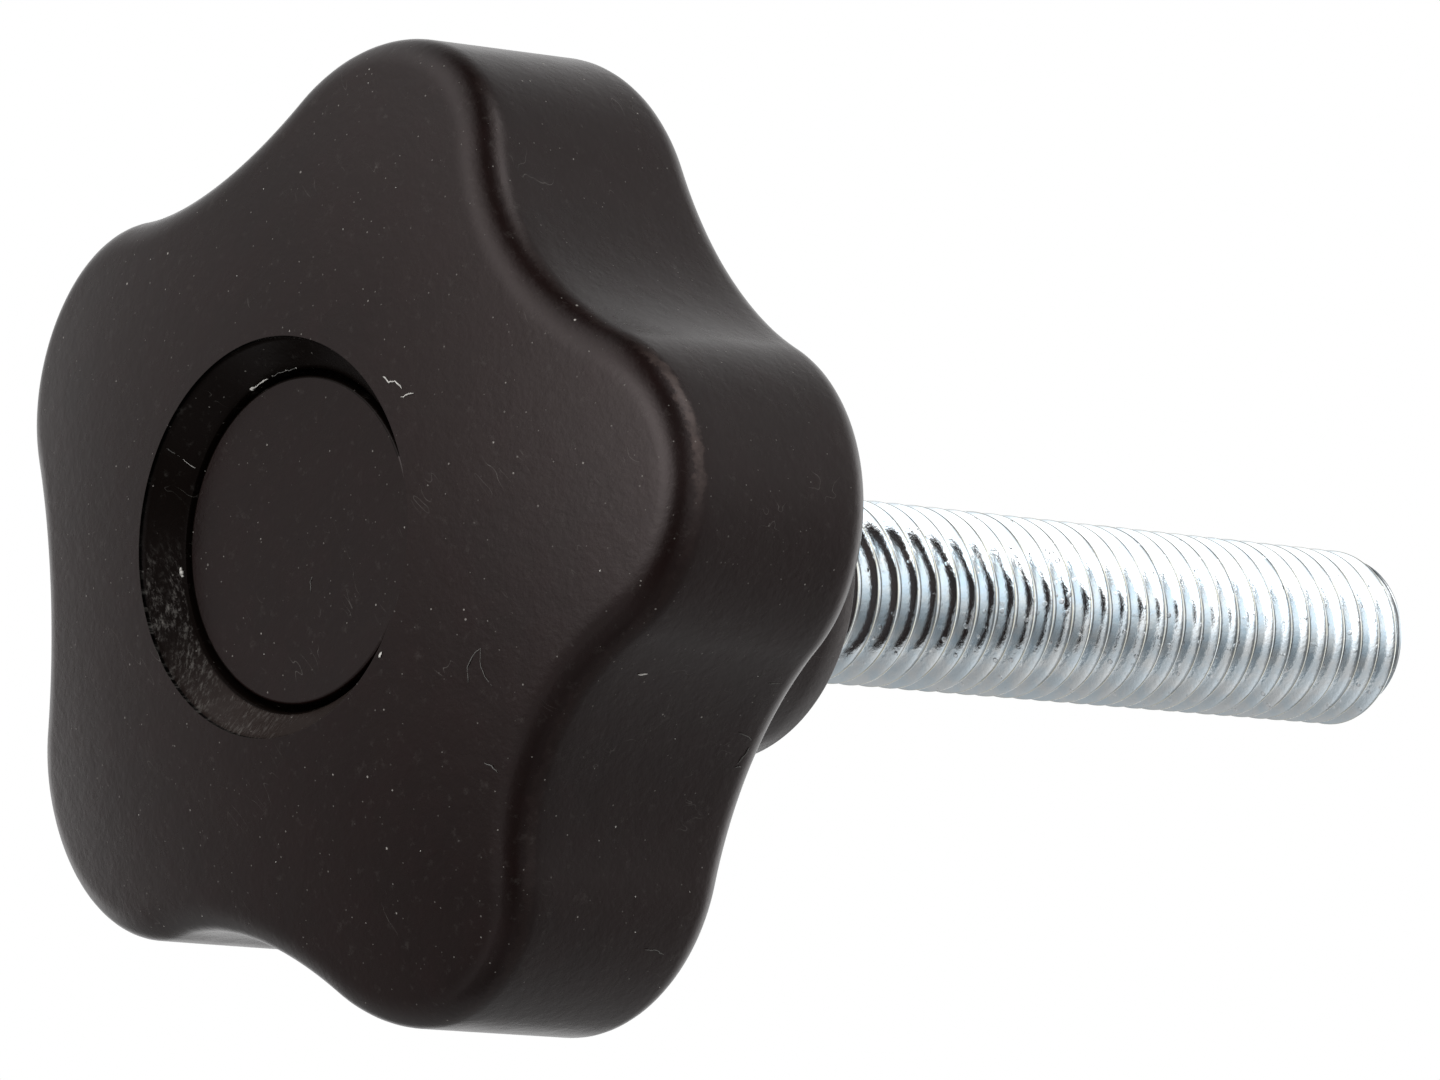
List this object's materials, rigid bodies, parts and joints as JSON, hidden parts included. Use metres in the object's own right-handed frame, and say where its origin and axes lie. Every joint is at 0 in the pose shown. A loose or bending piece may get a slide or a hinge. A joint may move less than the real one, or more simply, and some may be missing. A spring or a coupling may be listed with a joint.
{
  "type": "star knob",
  "caption": "Lobed star knob with a crowned face, a press-in cover cap and a threaded steel stud, for clamping by hand.",
  "frame": {"origin": "on the knob's axis, in the plane of the hub's end face, where the stud leaves the hub", "axes": "+Z along the knob's axis, from the face towards the stud's tip; +X through the tip of one lobe"},
  "size_m": [0.0474, 0.0488, 0.0814],
  "materials": {
    "body": "black, matte, slightly textured moulding",
    "cap": "black, matte moulding",
    "stud": "zinc plated, clear passivated, rolled thread"
  },
  "bodies": {
    "root": {"knob_body": "body", "cover_cap": "cap", "threaded_stud": "stud"}
  },
  "joints": []
}
